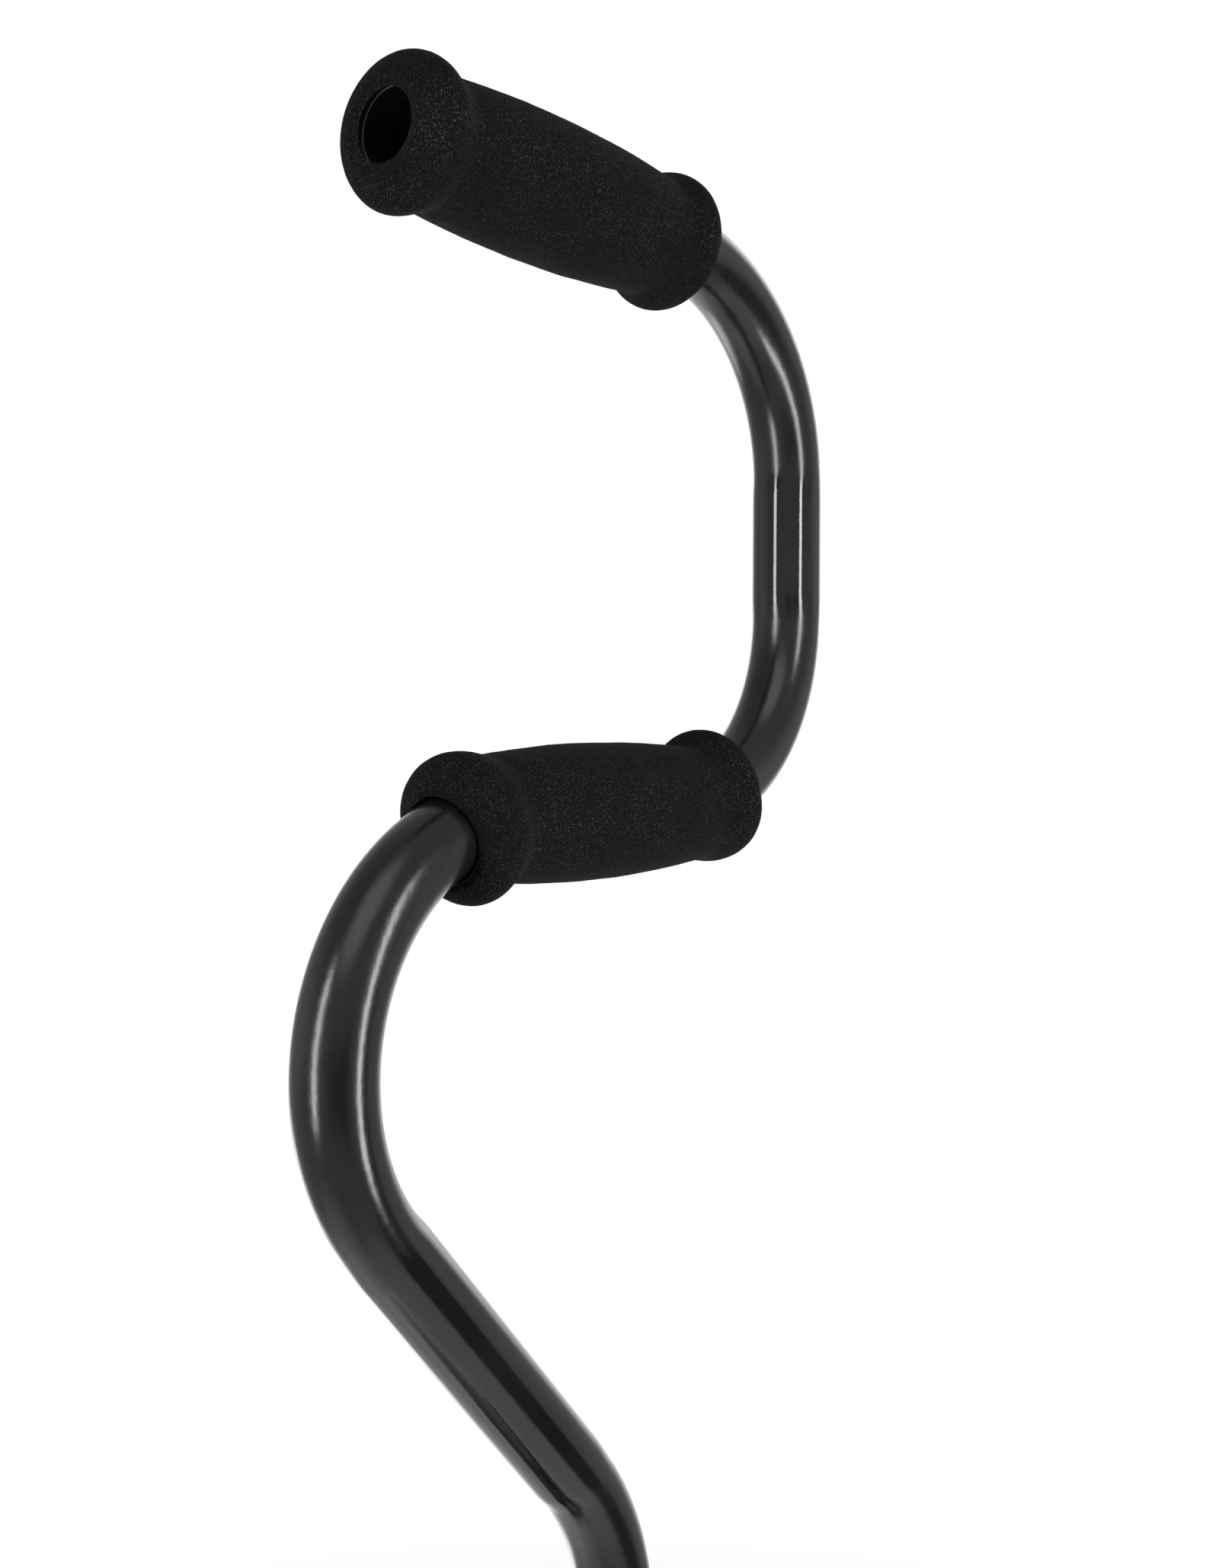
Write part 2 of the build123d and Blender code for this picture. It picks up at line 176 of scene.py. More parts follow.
def filleted_path(corners, radius, step):
    """Straight runs between (x, z) corners, with an arc at each inner corner."""
    runs = [Vector(b) - Vector(a) for a, b in zip(corners, corners[1:])]
    headings = [atan2(run.y, run.x) for run in runs]
    turns = [(b - a + pi) % (2 * pi) - pi for a, b in zip(headings, headings[1:])]
    cuts = [0.0] + [radius * tan(abs(turn) / 2) for turn in turns] + [0.0]
    route = Path(corners[0][0], corners[0][1], degrees(headings[0]), step)
    for k, run in enumerate(runs):
        route.line(run.length - cuts[k] - cuts[k + 1])
        if k < len(turns):
            route.arc(degrees(turns[k]), radius)
    return route


def along(stations, place):
    """The station at a length along a path, between its stations."""
    first = stations[0][4]
    last = stations[-1][4]
    share = (min(max(place, first), last) - first) / (last - first) * (len(stations) - 1)
    index = min(int(share), len(stations) - 2)
    part = share - index
    a = stations[index]
    b = stations[index + 1]
    x, z, heading, curve, _ = (p + (q - p) * part for p, q in zip(a, b))
    over = place - min(max(place, first), last)
    return x + over * cos(heading), z + over * sin(heading), heading, curve


def ring_point(x, z, heading, side, across):
    """A point beside the path: side is to its left in the XZ plane, across is along +Y."""
    return (x - sin(heading) * side, across, z + cos(heading) * side)


# ---- mesh building --------------------------------------------------------------------------
def make_object(name, points, faces, sharp_angle=35.0):
    mesh = bpy.data.meshes.new(name)
    mesh.from_pydata([tuple(p) for p in points], [], faces)
    mesh.update()
    mesh.shade_smooth()
    mesh.set_sharp_from_angle(angle=radians(sharp_angle))
    obj = bpy.data.objects.new(name, mesh)
    bpy.context.scene.collection.objects.link(obj)
    return obj


def add_values(obj, name, values):
    """A number at every point of a mesh, for its material to read."""
    layer = obj.data.attributes.new(name, "FLOAT", "POINT")
    layer.data.foreach_set("value", values)


def ring_faces(ring_count, segments, closed):
    faces = []
    last = ring_count if closed else ring_count - 1
    for i in range(last):
        a = i * segments
        b = ((i + 1) % ring_count) * segments
        for j in range(segments):
            k = (j + 1) % segments
            faces.append((a + j, a + k, b + k, b + j))
    return faces


def lathe_points(profile, segments, shape=None, centre=(0.0, 0.0)):
    """Rings about an upright axis from (radius, height) pairs; shape may change a ring's radius."""
    points = []
    for radius, height in profile:
        for j in range(segments):
            turn = 2 * pi * j / segments
            r = shape(radius, height, turn) if shape else radius
            points.append((centre[0] + r * cos(turn), centre[1] + r * sin(turn), height))
    return points


def lathe(name, profile, segments=96, shape=None, centre=(0.0, 0.0), closed=True, sharp_angle=35.0):
    """A ring-shaped solid, or with closed=False a solid whose ends meet the axis."""
    points = lathe_points(profile, segments, shape, centre)
    faces = ring_faces(len(profile), segments, closed)
    if not closed:
        faces.append(tuple(range(segments))[::-1])
        start = (len(profile) - 1) * segments
        faces.append(tuple(range(start, start + segments)))
    return make_object(name, points, faces, sharp_angle)


def rounded(points, radius, steps=5):
    """A closed profile with each corner replaced by a small curve."""
    result = []
    corners = [Vector(point) for point in points]
    for i, here in enumerate(corners):
        a = corners[i - 1] - here
        b = corners[(i + 1) % len(corners)] - here
        cut = min(radius, 0.45 * a.length, 0.45 * b.length)
        start = here + a.normalized() * cut
        end = here + b.normalized() * cut
        for k in range(steps + 1):
            t = k / steps
            result.append(tuple(start * (1 - t) ** 2 + here * 2 * t * (1 - t) + end * t ** 2))
    return result


def join(name, pieces):
    """One mesh object from several."""
    points = []
    faces = []
    for piece in pieces:
        start = len(points)
        points += [tuple(v.co) for v in piece.data.vertices]
        faces += [tuple(start + v for v in p.vertices) for p in piece.data.polygons]
        bpy.data.objects.remove(piece)
    return make_object(name, points, faces)


# ---- materials ------------------------------------------------------------------------------
def new_node(tree, kind, *ordered, operation=None, **named):
    """A node whose inputs, in their order or by name, are values or other nodes' outputs."""
    node = tree.nodes.new(kind)
    if operation:
        node.operation = operation
    inputs = list(zip(node.inputs, ordered))
    inputs += [(node.inputs[name.replace("_", " ")], value) for name, value in named.items()]
    for socket, value in inputs:
        if isinstance(value, bpy.types.NodeSocket):
            tree.links.new(value, socket)
        else:
            socket.default_value = value
    return node


class Finish:
    """A node material with short calls for the nodes that the finishes below share."""

    def __init__(self, name):
        self.material = bpy.data.materials.new(name)
        self.material.use_nodes = True
        self.tree = self.material.node_tree
        self.nodes = self.tree.nodes
        self.shader = self.nodes["Principled BSDF"]
        self.coordinates = self.nodes.new("ShaderNodeTexCoord").outputs["Object"]

    def set(self, **values):
        for socket, value in values.items():
            self.shader.inputs[socket.replace("_", " ")].default_value = value
        return self

    def link(self, output, socket):
        self.tree.links.new(output, socket)

    def node(self, kind, *ordered, **named):
        return new_node(self.tree, kind, *ordered, **named)

    def stretch(self, scale):
        return self.node("ShaderNodeMapping", self.coordinates, Scale=scale).outputs["Vector"]

    def noise(self, size, detail=2.0, roughness=0.5, vector=None):
        """Noise whose features are about size metres across."""
        return self.node("ShaderNodeTexNoise", vector or self.coordinates, Scale=1 / size,
                         Detail=detail, Roughness=roughness).outputs["Fac"]

    def cells(self, size):
        """A random value for each of the cells, about size metres across."""
        return self.node("ShaderNodeTexVoronoi", self.coordinates, Scale=1 / size).outputs["Color"]

    def scratches(self, depth):
        """Sparse hairline marks, rougher than the gloss round them."""
        lines = self.noise(5 * MM, 1.0, 0.3, self.stretch((1.0, 1.0, 0.35)))
        beside = self.math("ABSOLUTE", self.math("SUBTRACT", lines, 0.5), 0.0)
        hair = self.ramp(beside, 0.0, 0.003, depth, 0.0)
        patches = self.ramp(self.noise(17 * MM, 2.0), 0.56, 0.62, 0.0, 1.0)
        return self.math("MULTIPLY", hair, patches)

    def attribute(self, name):
        node = self.nodes.new("ShaderNodeAttribute")
        node.attribute_name = name
        return node.outputs["Fac"]

    def ramp(self, value, low_in, high_in, low_out, high_out):
        return self.node("ShaderNodeMapRange", value, low_in, high_in, low_out, high_out).outputs["Result"]

    def math(self, operation, a, b):
        return self.node("ShaderNodeMath", a, b, operation=operation).outputs["Value"]

    def mix(self, factor, first, second):
        """Two colours, each three numbers or a node's output."""
        node = self.node("ShaderNodeMix", factor)
        node.data_type = "RGBA"
        for socket, value in ((node.inputs[6], first), (node.inputs[7], second)):
            if isinstance(value, tuple):
                socket.default_value = (*value, 1.0)
            else:
                self.link(value, socket)
        return node.outputs[2]

    def bump(self, height, distance, strength=1.0, after=None):
        """A bump, on top of the one whose output is given as after."""
        node = self.node("ShaderNodeBump", Height=height, Distance=distance, Strength=strength)
        if after is not None:
            self.link(after, node.inputs["Normal"])
        self.link(node.outputs["Normal"], self.shader.inputs["Normal"])
        return node.outputs["Normal"]

    def color(self, output):
        self.link(output, self.shader.inputs["Base Color"])

    def roughness(self, output):
        self.link(output, self.shader.inputs["Roughness"])


def gloss_enamel(name, base=0.005):
    """Gloss black powder coat: crisp on the straights, grainier where the tube was bent."""
    f = Finish(name).set(Specular_IOR_Level=0.5)
    bend = f.attribute("bend")
    cloud = f.noise(24 * MM, 3.0)
    coat = f.mix(f.ramp(cloud, 0.35, 0.7, 0.0, 1.0), (base, base, base * 1.08), (base * 1.5,) * 3)
    bare = f.attribute("bare")
    f.color(f.mix(bare, coat, (0.85, 0.85, 0.84)))
    f.link(bare, f.shader.inputs["Metallic"])
    fine = f.ramp(f.noise(0.9 * MM, 2.0), 0.3, 0.7, 0.0, 0.02)
    wide = f.ramp(cloud, 0.3, 0.7, 0.0, 0.02)
    bent = f.ramp(bend, 0.0, 1.0, 0.04, 0.18)
    scuffs = f.scratches(0.05)
    f.roughness(f.math("ADD", f.math("ADD", bent, scuffs), f.math("ADD", fine, wide)))
    depth = f.ramp(bend, 0.0, 1.0, 0.22, 1.0)
    first = f.bump(f.math("MULTIPLY", f.noise(3.2 * MM, 1.0, 0.4), depth), 0.05 * MM)
    f.bump(f.math("MULTIPLY", f.noise(0.5 * MM, 2.0, 0.6), depth), 0.03 * MM, after=first)
    return f.material


def foam(name):
    """Closed-cell foam: near black and felt-like, with fine pale lint and a faint dusty bloom."""
    f = Finish(name).set(Specular_IOR_Level=0.05, Sheen_Weight=0.014, Sheen_Roughness=0.3)
    f.shader.inputs["Sheen Tint"].default_value = (1.0, 0.86, 0.74, 1.0)
    cells = f.noise(0.5 * MM, 3.0, 0.65)
    lint = f.ramp(f.noise(0.38 * MM, 1.0, 0.5, f.stretch((1.0, 1.0, 0.6))), 0.58, 0.72, 0.0, 1.0)
    worn = f.ramp(f.noise(20 * MM, 3.0, 0.6), 0.36, 0.66, 0.35, 0.9)
    cloud = f.noise(11 * MM, 3.0, 0.6)
    base = f.mix(f.ramp(cloud, 0.3, 0.7, 0.0, 1.0), (0.0025, 0.0025, 0.0026), (0.0036, 0.0036, 0.0036))
    mottled = f.mix(f.ramp(cells, 0.38, 0.68, 0.0, 1.0), base, (0.0068, 0.0068, 0.0067))
    f.color(f.mix(f.math("MULTIPLY", lint, worn), mottled, (0.052, 0.051, 0.050)))
    f.roughness(f.ramp(cells, 0.3, 0.7, 0.88, 1.0))
    first = f.bump(f.noise(2.4 * MM, 2.0, 0.5), 0.14 * MM, 0.6)
    f.bump(cells, 0.2 * MM, 0.9, after=first)
    return f.material


def moulded_plastic(name, color, roughness=0.42):
    """Spark-eroded moulded plastic with slight flow clouds."""
    f = Finish(name).set(Specular_IOR_Level=0.45)
    cloud = f.noise(9 * MM, 3.0)
    darker = tuple(c * 0.82 for c in color)
    f.color(f.mix(f.ramp(cloud, 0.3, 0.7, 0.0, 1.0), darker, color))
    f.roughness(f.ramp(cloud, 0.3, 0.7, roughness - 0.05, roughness + 0.06))
    f.bump(f.noise(0.35 * MM, 2.0, 0.6), 0.03 * MM, 0.8)
    return f.material


def drawn_steel(name, color, roughness=0.26, scratch=0.5):
    """Bright steel or anodised tube with fine marks along its length."""
    f = Finish(name).set(Metallic=1.0)
    streaks = f.noise(0.5 * MM, 3.0, 0.6, f.stretch((1.0, 1.0, 0.02)))
    wear = f.noise(16 * MM, 4.0, 0.6)
    darker = tuple(c * 0.8 for c in color)
    f.color(f.mix(f.ramp(wear, 0.3, 0.75, 0.0, 1.0), color, darker))
    f.roughness(f.math("ADD", f.ramp(streaks, 0.3, 0.7, roughness - 0.05, roughness + 0.08),
                       f.ramp(wear, 0.35, 0.7, 0.0, 0.07)))
    f.bump(streaks, 0.02 * MM, scratch)
    return f.material


def zinc(name):
    """Zinc-plated fastener: pale grey with a faint crystalline mottle."""
    f = Finish(name).set(Metallic=1.0)
    grains = f.cells(1.6 * MM)
    f.color(f.mix(f.noise(3 * MM, 3.0), (0.50, 0.50, 0.48), (0.66, 0.66, 0.63)))
    f.roughness(f.ramp(grains, 0.0, 1.0, 0.28, 0.42))
    f.bump(f.noise(0.6 * MM, 2.0), 0.02 * MM, 0.6)
    return f.material


def tip_rubber(name):
    """Matt moulded rubber, greyer where the sole has scuffed."""
    f = Finish(name).set(Specular_IOR_Level=0.3)
    height = f.node("ShaderNodeSeparateXYZ", f.coordinates).outputs["Z"]
    near_floor = f.ramp(height, 0.0, 9 * MM, 1.0, 0.0)
    patches = f.ramp(f.noise(4 * MM, 4.0, 0.65), 0.42, 0.68, 0.0, 1.0)
    scuff = f.math("MULTIPLY", near_floor, patches)
    base = f.mix(f.noise(7 * MM, 3.0), (0.020, 0.020, 0.021), (0.032, 0.032, 0.033))
    f.color(f.mix(scuff, base, (0.11, 0.105, 0.10)))
    f.roughness(f.ramp(scuff, 0.0, 1.0, 0.62, 0.9))
    f.bump(f.noise(0.4 * MM, 3.0, 0.6), 0.05 * MM, 0.8)
    return f.material


def paint(obj, material):
    obj.data.materials.clear()
    obj.data.materials.append(material)


enamel = gloss_enamel("gloss_black_enamel")
base_enamel = gloss_enamel("gloss_black_base", 0.009)
grip_foam = foam("black_foam")
collar_plastic = moulded_plastic("black_plastic", (0.014, 0.014, 0.015))
nut_plastic = moulded_plastic("grey_plastic", (0.045, 0.046, 0.048), 0.38)
glide_plastic = moulded_plastic("white_plastic", (0.68, 0.67, 0.62))
stem_steel = drawn_steel("satin_steel", (0.62, 0.63, 0.65))
bright_steel = drawn_steel("bright_steel", (0.70, 0.70, 0.69), 0.20)
spring_steel = drawn_steel("spring_steel", (0.34, 0.35, 0.38), 0.3)
zinc_steel = zinc("zinc_steel")
rubber = tip_rubber("grey_rubber")


# ---- tubes, bent and drilled ----------------------------------------------------------------
HOLE_RINGS = 24                # rings of mesh from one adjusting hole to the next
HOLE_REACH = 5                 # faces from a hole's middle to the edge of the patch it is cut in


def bend_share(stations, place):
    """0 on a straight, 1 in a left bend and -1 in a right one, with a smooth run between them."""
    samples = 13
    total = 0.0
    for k in range(samples):
        curve = along(stations, place + (2 * k / (samples - 1) - 1) * BEND_RUN)[3]
        total += max(-1.0, min(1.0, curve * GENTLE_BEND))
    share = abs(total) / samples
    eased = share ** 2 * (3 - 2 * share)
    return eased if total > 0 else -eased


def bent_section(radius, share, turn):
    """(side, across) on the outside of a bent tube, flattened in the bend and marked at its ends."""
    bent = abs(share)
    inside = max(0.0, cos(turn) * (1 if share > 0 else -1))
    mark = 4 * bent * (1 - bent) * inside ** 2 * BEND_MARK
    side = radius * (1 - BEND_FLATTENING * bent) - mark
    across = radius * (1 - BEND_NARROWING * bent) - mark
    return side * cos(turn), across * sin(turn)


def ring_places(total, heights):
    """Lengths along a tube for the rings of its mesh, one of them at each hole's middle."""
    pitch = HOLE_PITCH / HOLE_RINGS
    margin = 0.6 * MM
    end = total - margin
    first = min(heights)
    drilled = max(heights) + HOLE_PITCH / 2 - first
    places = [first - k * pitch for k in range(int(first / pitch), 0, -1)]
    places = [place for place in places if place > margin]
    places += [first + k * pitch for k in range(int(drilled / pitch) + 1)]
    reach = places[-1]
    count = max(1, int((end - reach) / (1.1 * MM)))
    return places + [reach + (end - reach) * k / count for k in range(1, count + 1)]


def tube_layers(places, total, radius, bore):
    """(length, radius) of each ring: up the outside, over the far end, down the bore and under."""
    ease = TUBE_END_EASE
    soft = 0.3 * ease
    outside = [(soft, radius - soft)] + [(place, radius) for place in places]
    far_end = [(total - soft, radius - soft), (total, radius - ease), (total, bore + ease)]
    inside = [(total - soft, bore + soft)] + [(place, bore) for place in reversed(places)]
    near_end = [(soft, bore + soft), (0.0, bore + ease), (0.0, radius - ease)]
    return outside + far_end + inside + near_end


def patch_edge():
    """Once round the square patch that a hole is cut in, as (rings, faces) from its middle."""
    steps = range(-HOLE_REACH, HOLE_REACH)
    first = [(-HOLE_REACH, k) for k in steps] + [(k, HOLE_REACH) for k in steps]
    return first + [(-a, -b) for a, b in first]


class TubeMesh:
    """A tube along a path whose straight start can be drilled."""

    def __init__(self, stations, radius, wall, heights, segments=80):
        self.radius = radius
        self.bore = radius - wall
        self.start_z = stations[0][1]
        self.segments = segments
        self.points = []
        self.bends = []
        self.bare = []
        self.removed = set()
        self.hole_faces = []
        total = stations[-1][4]
        self.places = ring_places(total, heights)
        self.layers = tube_layers(self.places, total, radius, self.bore)
        for place, r in self.layers:
            self.add_ring(stations, place, r, place in (0.0, total))

    def add_point(self, point, bend, bare):
        self.points.append(point)
        self.bends.append(bend)
        self.bare.append(bare)
        return len(self.points) - 1

    def add_ring(self, stations, place, r, cut):
        """A ring of points; on a cut end they are bare steel."""
        x, z, heading, _ = along(stations, place)
        share = bend_share(stations, place)
        outer = r > (self.radius + self.bore) / 2
        for j in range(self.segments):
            turn = 2 * pi * j / self.segments
            side, across = bent_section(r, share, turn) if outer else (r * cos(turn), r * sin(turn))
            self.add_point(ring_point(x, z, heading, side, across), abs(share), 1.0 if cut else 0.0)

    def index(self, ring, j):
        return ring * self.segments + j % self.segments

    def drill(self, height, side, hole_radius):
        """A round hole through one wall: the one towards -X for side -1, towards +X for side 1."""
        nearest = min(range(len(self.places)), key=lambda i: abs(self.places[i] - height))
        outer_ring = 1 + nearest
        inner_ring = 2 * len(self.places) + 5 - outer_ring
        middle_j = 0 if side < 0 else self.segments // 2
        for ring in (outer_ring, inner_ring):
            for a in range(-HOLE_REACH, HOLE_REACH):
                for b in range(-HOLE_REACH, HOLE_REACH):
                    self.removed.add((ring + a, (middle_j + b) % self.segments))
        outer_edge = [self.index(outer_ring + a, middle_j + b) for a, b in patch_edge()]
        inner_edge = [self.index(inner_ring - a, middle_j + b) for a, b in patch_edge()]
        loops = [outer_edge]
        for share, surface, circle in self.hole_steps(hole_radius):
            loops.append(self.hole_loop(outer_edge, self.start_z + height, side, share, surface, circle))
        loops.append(inner_edge)
        for a, b in zip(loops, loops[1:]):
            for k in range(len(a)):
                n = (k + 1) % len(a)
                self.hole_faces.append((a[k], b[k], b[n], a[n]))

    def hole_steps(self, hole_radius):
        """(share of the patch's own edge, distance from the tube's axis, radius) from outside in."""
        eased = hole_radius + 0.25 * MM
        return ((0.5, self.radius, eased),
                (0.0, self.radius, eased),
                (0.0, self.radius - 0.18 * MM, hole_radius),
                (0.0, self.bore + 0.1 * MM, hole_radius),
                (0.0, self.bore, hole_radius + 0.1 * MM))

    def hole_loop(self, edge, centre_z, side, share, surface, circle):
        """A loop of points between a patch's edge and a circle, laid on the tube's round surface."""
        loop = []
        for i in edge:
            _, edge_y, edge_z = self.points[i]
            angle = atan2(edge_z - centre_z, edge_y)
            y = circle * cos(angle) * (1 - share) + edge_y * share
            z = centre_z + circle * sin(angle) * (1 - share) + (edge_z - centre_z) * share
            x = side * sqrt(max(surface ** 2 - y ** 2, 0.0))
            loop.append(self.add_point((x, y, z), 0.0, 0.0))
        return loop

    def build(self, name):
        faces = []
        count = len(self.layers)
        for ring in range(count):
            after = (ring + 1) % count
            for j in range(self.segments):
                if (ring, j) not in self.removed:
                    faces.append((self.index(ring, j), self.index(ring, j + 1),
                                  self.index(after, j + 1), self.index(after, j)))
        faces += self.hole_faces
        used = sorted({i for face in faces for i in face})
        renumber = {old: new for new, old in enumerate(used)}
        obj = make_object(name, [self.points[i] for i in used],
                          [tuple(renumber[i] for i in face) for face in faces], 32.0)
        add_values(obj, "bend", [self.bends[i] for i in used])
        add_values(obj, "bare", [self.bare[i] for i in used])
        return obj


def drilled_tube(name, stations, radius, wall, heights, sides, hole_radius):
    """A tube with holes at heights above its start, on the -X side, the +X side or both."""
    tube = TubeMesh(stations, radius, wall, heights)
    for height in heights:
        for side in sides:
            tube.drill(height, side, hole_radius)
    return tube.build(name)


# ---- handle tube ----------------------------------------------------------------------------
def handle_path(straight):
    path = Path(0.0, low("handle_tube").z, 90.0)
    path.line(straight)
    path.arc(DIAGONAL_LEAN, SHAFT_BEND_RADIUS)
    path.line(DIAGONAL_LENGTH)
    path.arc(-(90 + DIAGONAL_LEAN - LOWER_TILT), BEND_RADIUS)
    lower_start = (path.x, path.z, degrees(path.heading))
    path.line(LOWER_STRAIGHT)
    path.arc(90 - LOWER_TILT, BEND_RADIUS)
    path.line(BACK_STRAIGHT)
    path.arc(90.0, BEND_RADIUS)
    path.line(UPPER_STRAIGHT)
    return path, lower_start


def shaft_straight():
    """The straight lower end's length: the tube's height less the rise of its bends."""
    bent, _ = handle_path(MM)
    top = bent.z + TUBE_RADIUS
    return high("handle_tube").z - top + MM


path, lower_start = handle_path(shaft_straight())
hole_heights = [LOWEST_HOLE_HEIGHT + k * HOLE_PITCH for k in range(HOLE_COUNT)]
handle = drilled_tube("handle_tube_bent", path.stations, TUBE_RADIUS, TUBE_WALL,
                      hole_heights, (-1, 1), HOLE_RADIUS)
paint(handle, enamel)
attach(handle, "handle")
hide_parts("handle_tube")


# ---- foam grips -----------------------------------------------------------------------------
MOUTH_STEPS = 6                # steps of mesh along each part of half a grip's outline
BEAD_STEPS = 26
NECK_STEPS = 18
BELLY_STEPS = 56


def shares(count):
    return [k / count for k in range(count)]


def grip_profile():
    """(length along the grip, radius) over the foam's outside: mouth, bead, soft neck, belly."""
    bead = GRIP_BEAD_RADIUS - GRIP_NOSE_RADIUS
    start = asin((GRIP_LIP_RADIUS - GRIP_NOSE_RADIUS) / bead)
    lip = GRIP_BEAD_PLACE * (1 - cos(start))
    half = []
    for share in shares(MOUTH_STEPS):
        half.append((lip + (GRIP_MOUTH_DEPTH - lip) * (1 - share) ** 1.4,
                     GRIP_LIP_RADIUS + (GRIP_MOUTH_RADIUS - GRIP_LIP_RADIUS) * (1 - share)))
    for share in shares(BEAD_STEPS):
        turn = start + (pi / 2 - start) * share
        half.append((GRIP_BEAD_PLACE * (1 - cos(turn)), GRIP_NOSE_RADIUS + bead * sin(turn)))
    fall = GRIP_BEAD_RADIUS - GRIP_NECK_RADIUS
    for share in shares(NECK_STEPS):
        half.append((GRIP_BEAD_PLACE + (GRIP_NECK_PLACE - GRIP_BEAD_PLACE) * share,
                     GRIP_NECK_RADIUS + fall * (0.5 + 0.5 * cos(pi * share))))
    rise = GRIP_BELLY_RADIUS - GRIP_NECK_RADIUS
    reach = GRIP_LENGTH / 2 - GRIP_NECK_PLACE
    for share in shares(BELLY_STEPS) + [1.0]:
        away = 1 - share
        half.append((GRIP_LENGTH / 2 - reach * away, GRIP_BELLY_RADIUS - rise * away ** 2))
    half = soften(half, GRIP_NECK_PLACE, GRIP_NECK_SOFTNESS)
    other = [(GRIP_LENGTH - s, r) for s, r in reversed(half[:-1])]
    return half + other


def soften(profile, place, reach):
    """The neck beside a bead, relaxed over a short reach as foam is."""
    result = list(profile)
    for _ in range(8):
        smooth = list(result)
        for i in range(1, len(result) - 1):
            near = 0.5 * max(0.0, 1 - abs(result[i][0] - place) / (2 * reach))
            between = [(result[i - 1][k] + result[i + 1][k]) / 2 for k in (0, 1)]
            smooth[i] = tuple(result[i][k] * (1 - near) + between[k] * near for k in (0, 1))
        result = smooth
    return result


def grip(name, route, bore_route, bore, mouths, segments=176):
    """Foam sleeve along a route, with its bore following the tube's own line.

    mouths is the radius at which the outside's outline begins, at the near and at the far end.
    """
    outer = [(s, r) for s, r in grip_profile() if r > mouths[s > GRIP_LENGTH / 2]]
    rings = [(s, r, True) for s, r in outer] + [(s, r, False) for s, r in bore]
    points = []
    for s, r, is_outer in rings:
        x, z, heading, curve = along(route if is_outer else bore_route, s)
        near_end = max(0.0, 1 - min(s, GRIP_LENGTH - s) / GRIP_NECK_PLACE)
        squeeze = curve * BEND_RADIUS * near_end * GRIP_SQUEEZE
        depth = (r - TUBE_RADIUS) / (GRIP_BEAD_RADIUS - TUBE_RADIUS)
        outward = 1 if s > GRIP_LENGTH / 2 else -1
        for j in range(segments):
            turn = 2 * pi * j / segments
            pressed = max(0.0, squeeze * cos(turn))
            wide = r + pressed * depth
            p = Vector(ring_point(x, z, heading, wide * cos(turn), wide * sin(turn)))
            if is_outer:
                p += Vector((cos(heading), 0.0, sin(heading))) * pressed * GRIP_SLIDE * outward
                out = (p - Vector((x, 0.0, z))).normalized()
                p += out * sum(noise.noise(p / size) * lump for size, lump in FOAM_LUMPS)
            points.append(tuple(p))
    return make_object(name, points, ring_faces(len(rings), segments, True), 60.0)


def top_bore():
    """From the far mouth back to the closed-down near mouth, past the end of the tube."""
    tube = TUBE_RADIUS + GRIP_FIT
    deep = GRIP_LENGTH
    far = [(deep - 0.3 * MM, tube + 0.6 * MM), (deep - 2.4 * MM, tube), (deep / 2, tube)]
    step = [(GRIP_OVERHANG + 0.02 * MM, tube), (GRIP_OVERHANG, GRIP_MOUTH_RADIUS + 1.2 * MM)]
    near = [(3.0 * MM, GRIP_MOUTH_RADIUS + 0.5 * MM),
            (GRIP_MOUTH_DEPTH + 0.3 * MM, GRIP_MOUTH_RADIUS + 0.02 * MM)]
    return far + step + near


def lower_bore():
    """From the far mouth back to the near mouth, which stands a little open round the tube."""
    tube = TUBE_RADIUS + GRIP_FIT
    deep = GRIP_LENGTH
    far = [(deep - 0.3 * MM, tube + 0.6 * MM), (deep - 3 * MM, tube)]
    inside = [(deep - (deep - 16 * MM) * k / 24, tube) for k in range(1, 24)]
    near = [(12 * MM, tube + 0.1 * MM), (8 * MM, tube + 0.2 * MM), (4 * MM, tube + 0.4 * MM),
            (1.2 * MM, tube + 0.6 * MM)]
    return far + inside + near


def top_route():
    return Path(path.x - GRIP_OVERHANG, path.z, 0.0).line(GRIP_LENGTH).stations


def lower_route(lead_curve=1.0, tail_curve=1.0):
    """Along the lower straight and into both bends, curved there by these shares of the tube's."""
    x, z, heading = lower_start
    lead = degrees(LOWER_GRIP_LEAD / BEND_RADIUS) * lead_curve
    tail = GRIP_LENGTH - LOWER_GRIP_LEAD - LOWER_STRAIGHT
    back = Path(x, z, heading + 180).arc(lead, BEND_RADIUS / lead_curve)
    route = Path(back.x, back.z, degrees(back.heading) + 180)
    route.arc(-lead, BEND_RADIUS / lead_curve)
    route.line(LOWER_STRAIGHT)
    route.arc(degrees(tail / BEND_RADIUS) * tail_curve, BEND_RADIUS / tail_curve)
    return route.stations


def add_grip(name, node, route, bore_route, bore, mouths):
    piece = grip(name, route, bore_route, bore, mouths)
    paint(piece, grip_foam)
    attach(piece, "handle")
    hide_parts(node)


straight_route = top_route()
snug = TUBE_RADIUS + 0.7 * MM
add_grip("top_grip_foam", "top_grip", straight_route, straight_route, top_bore(), (0.0, snug))
add_grip("lower_grip_foam", "lower_grip", lower_route(0.9, 1.2), lower_route(), lower_bore(),
         (TUBE_RADIUS + 0.6 * MM, snug))


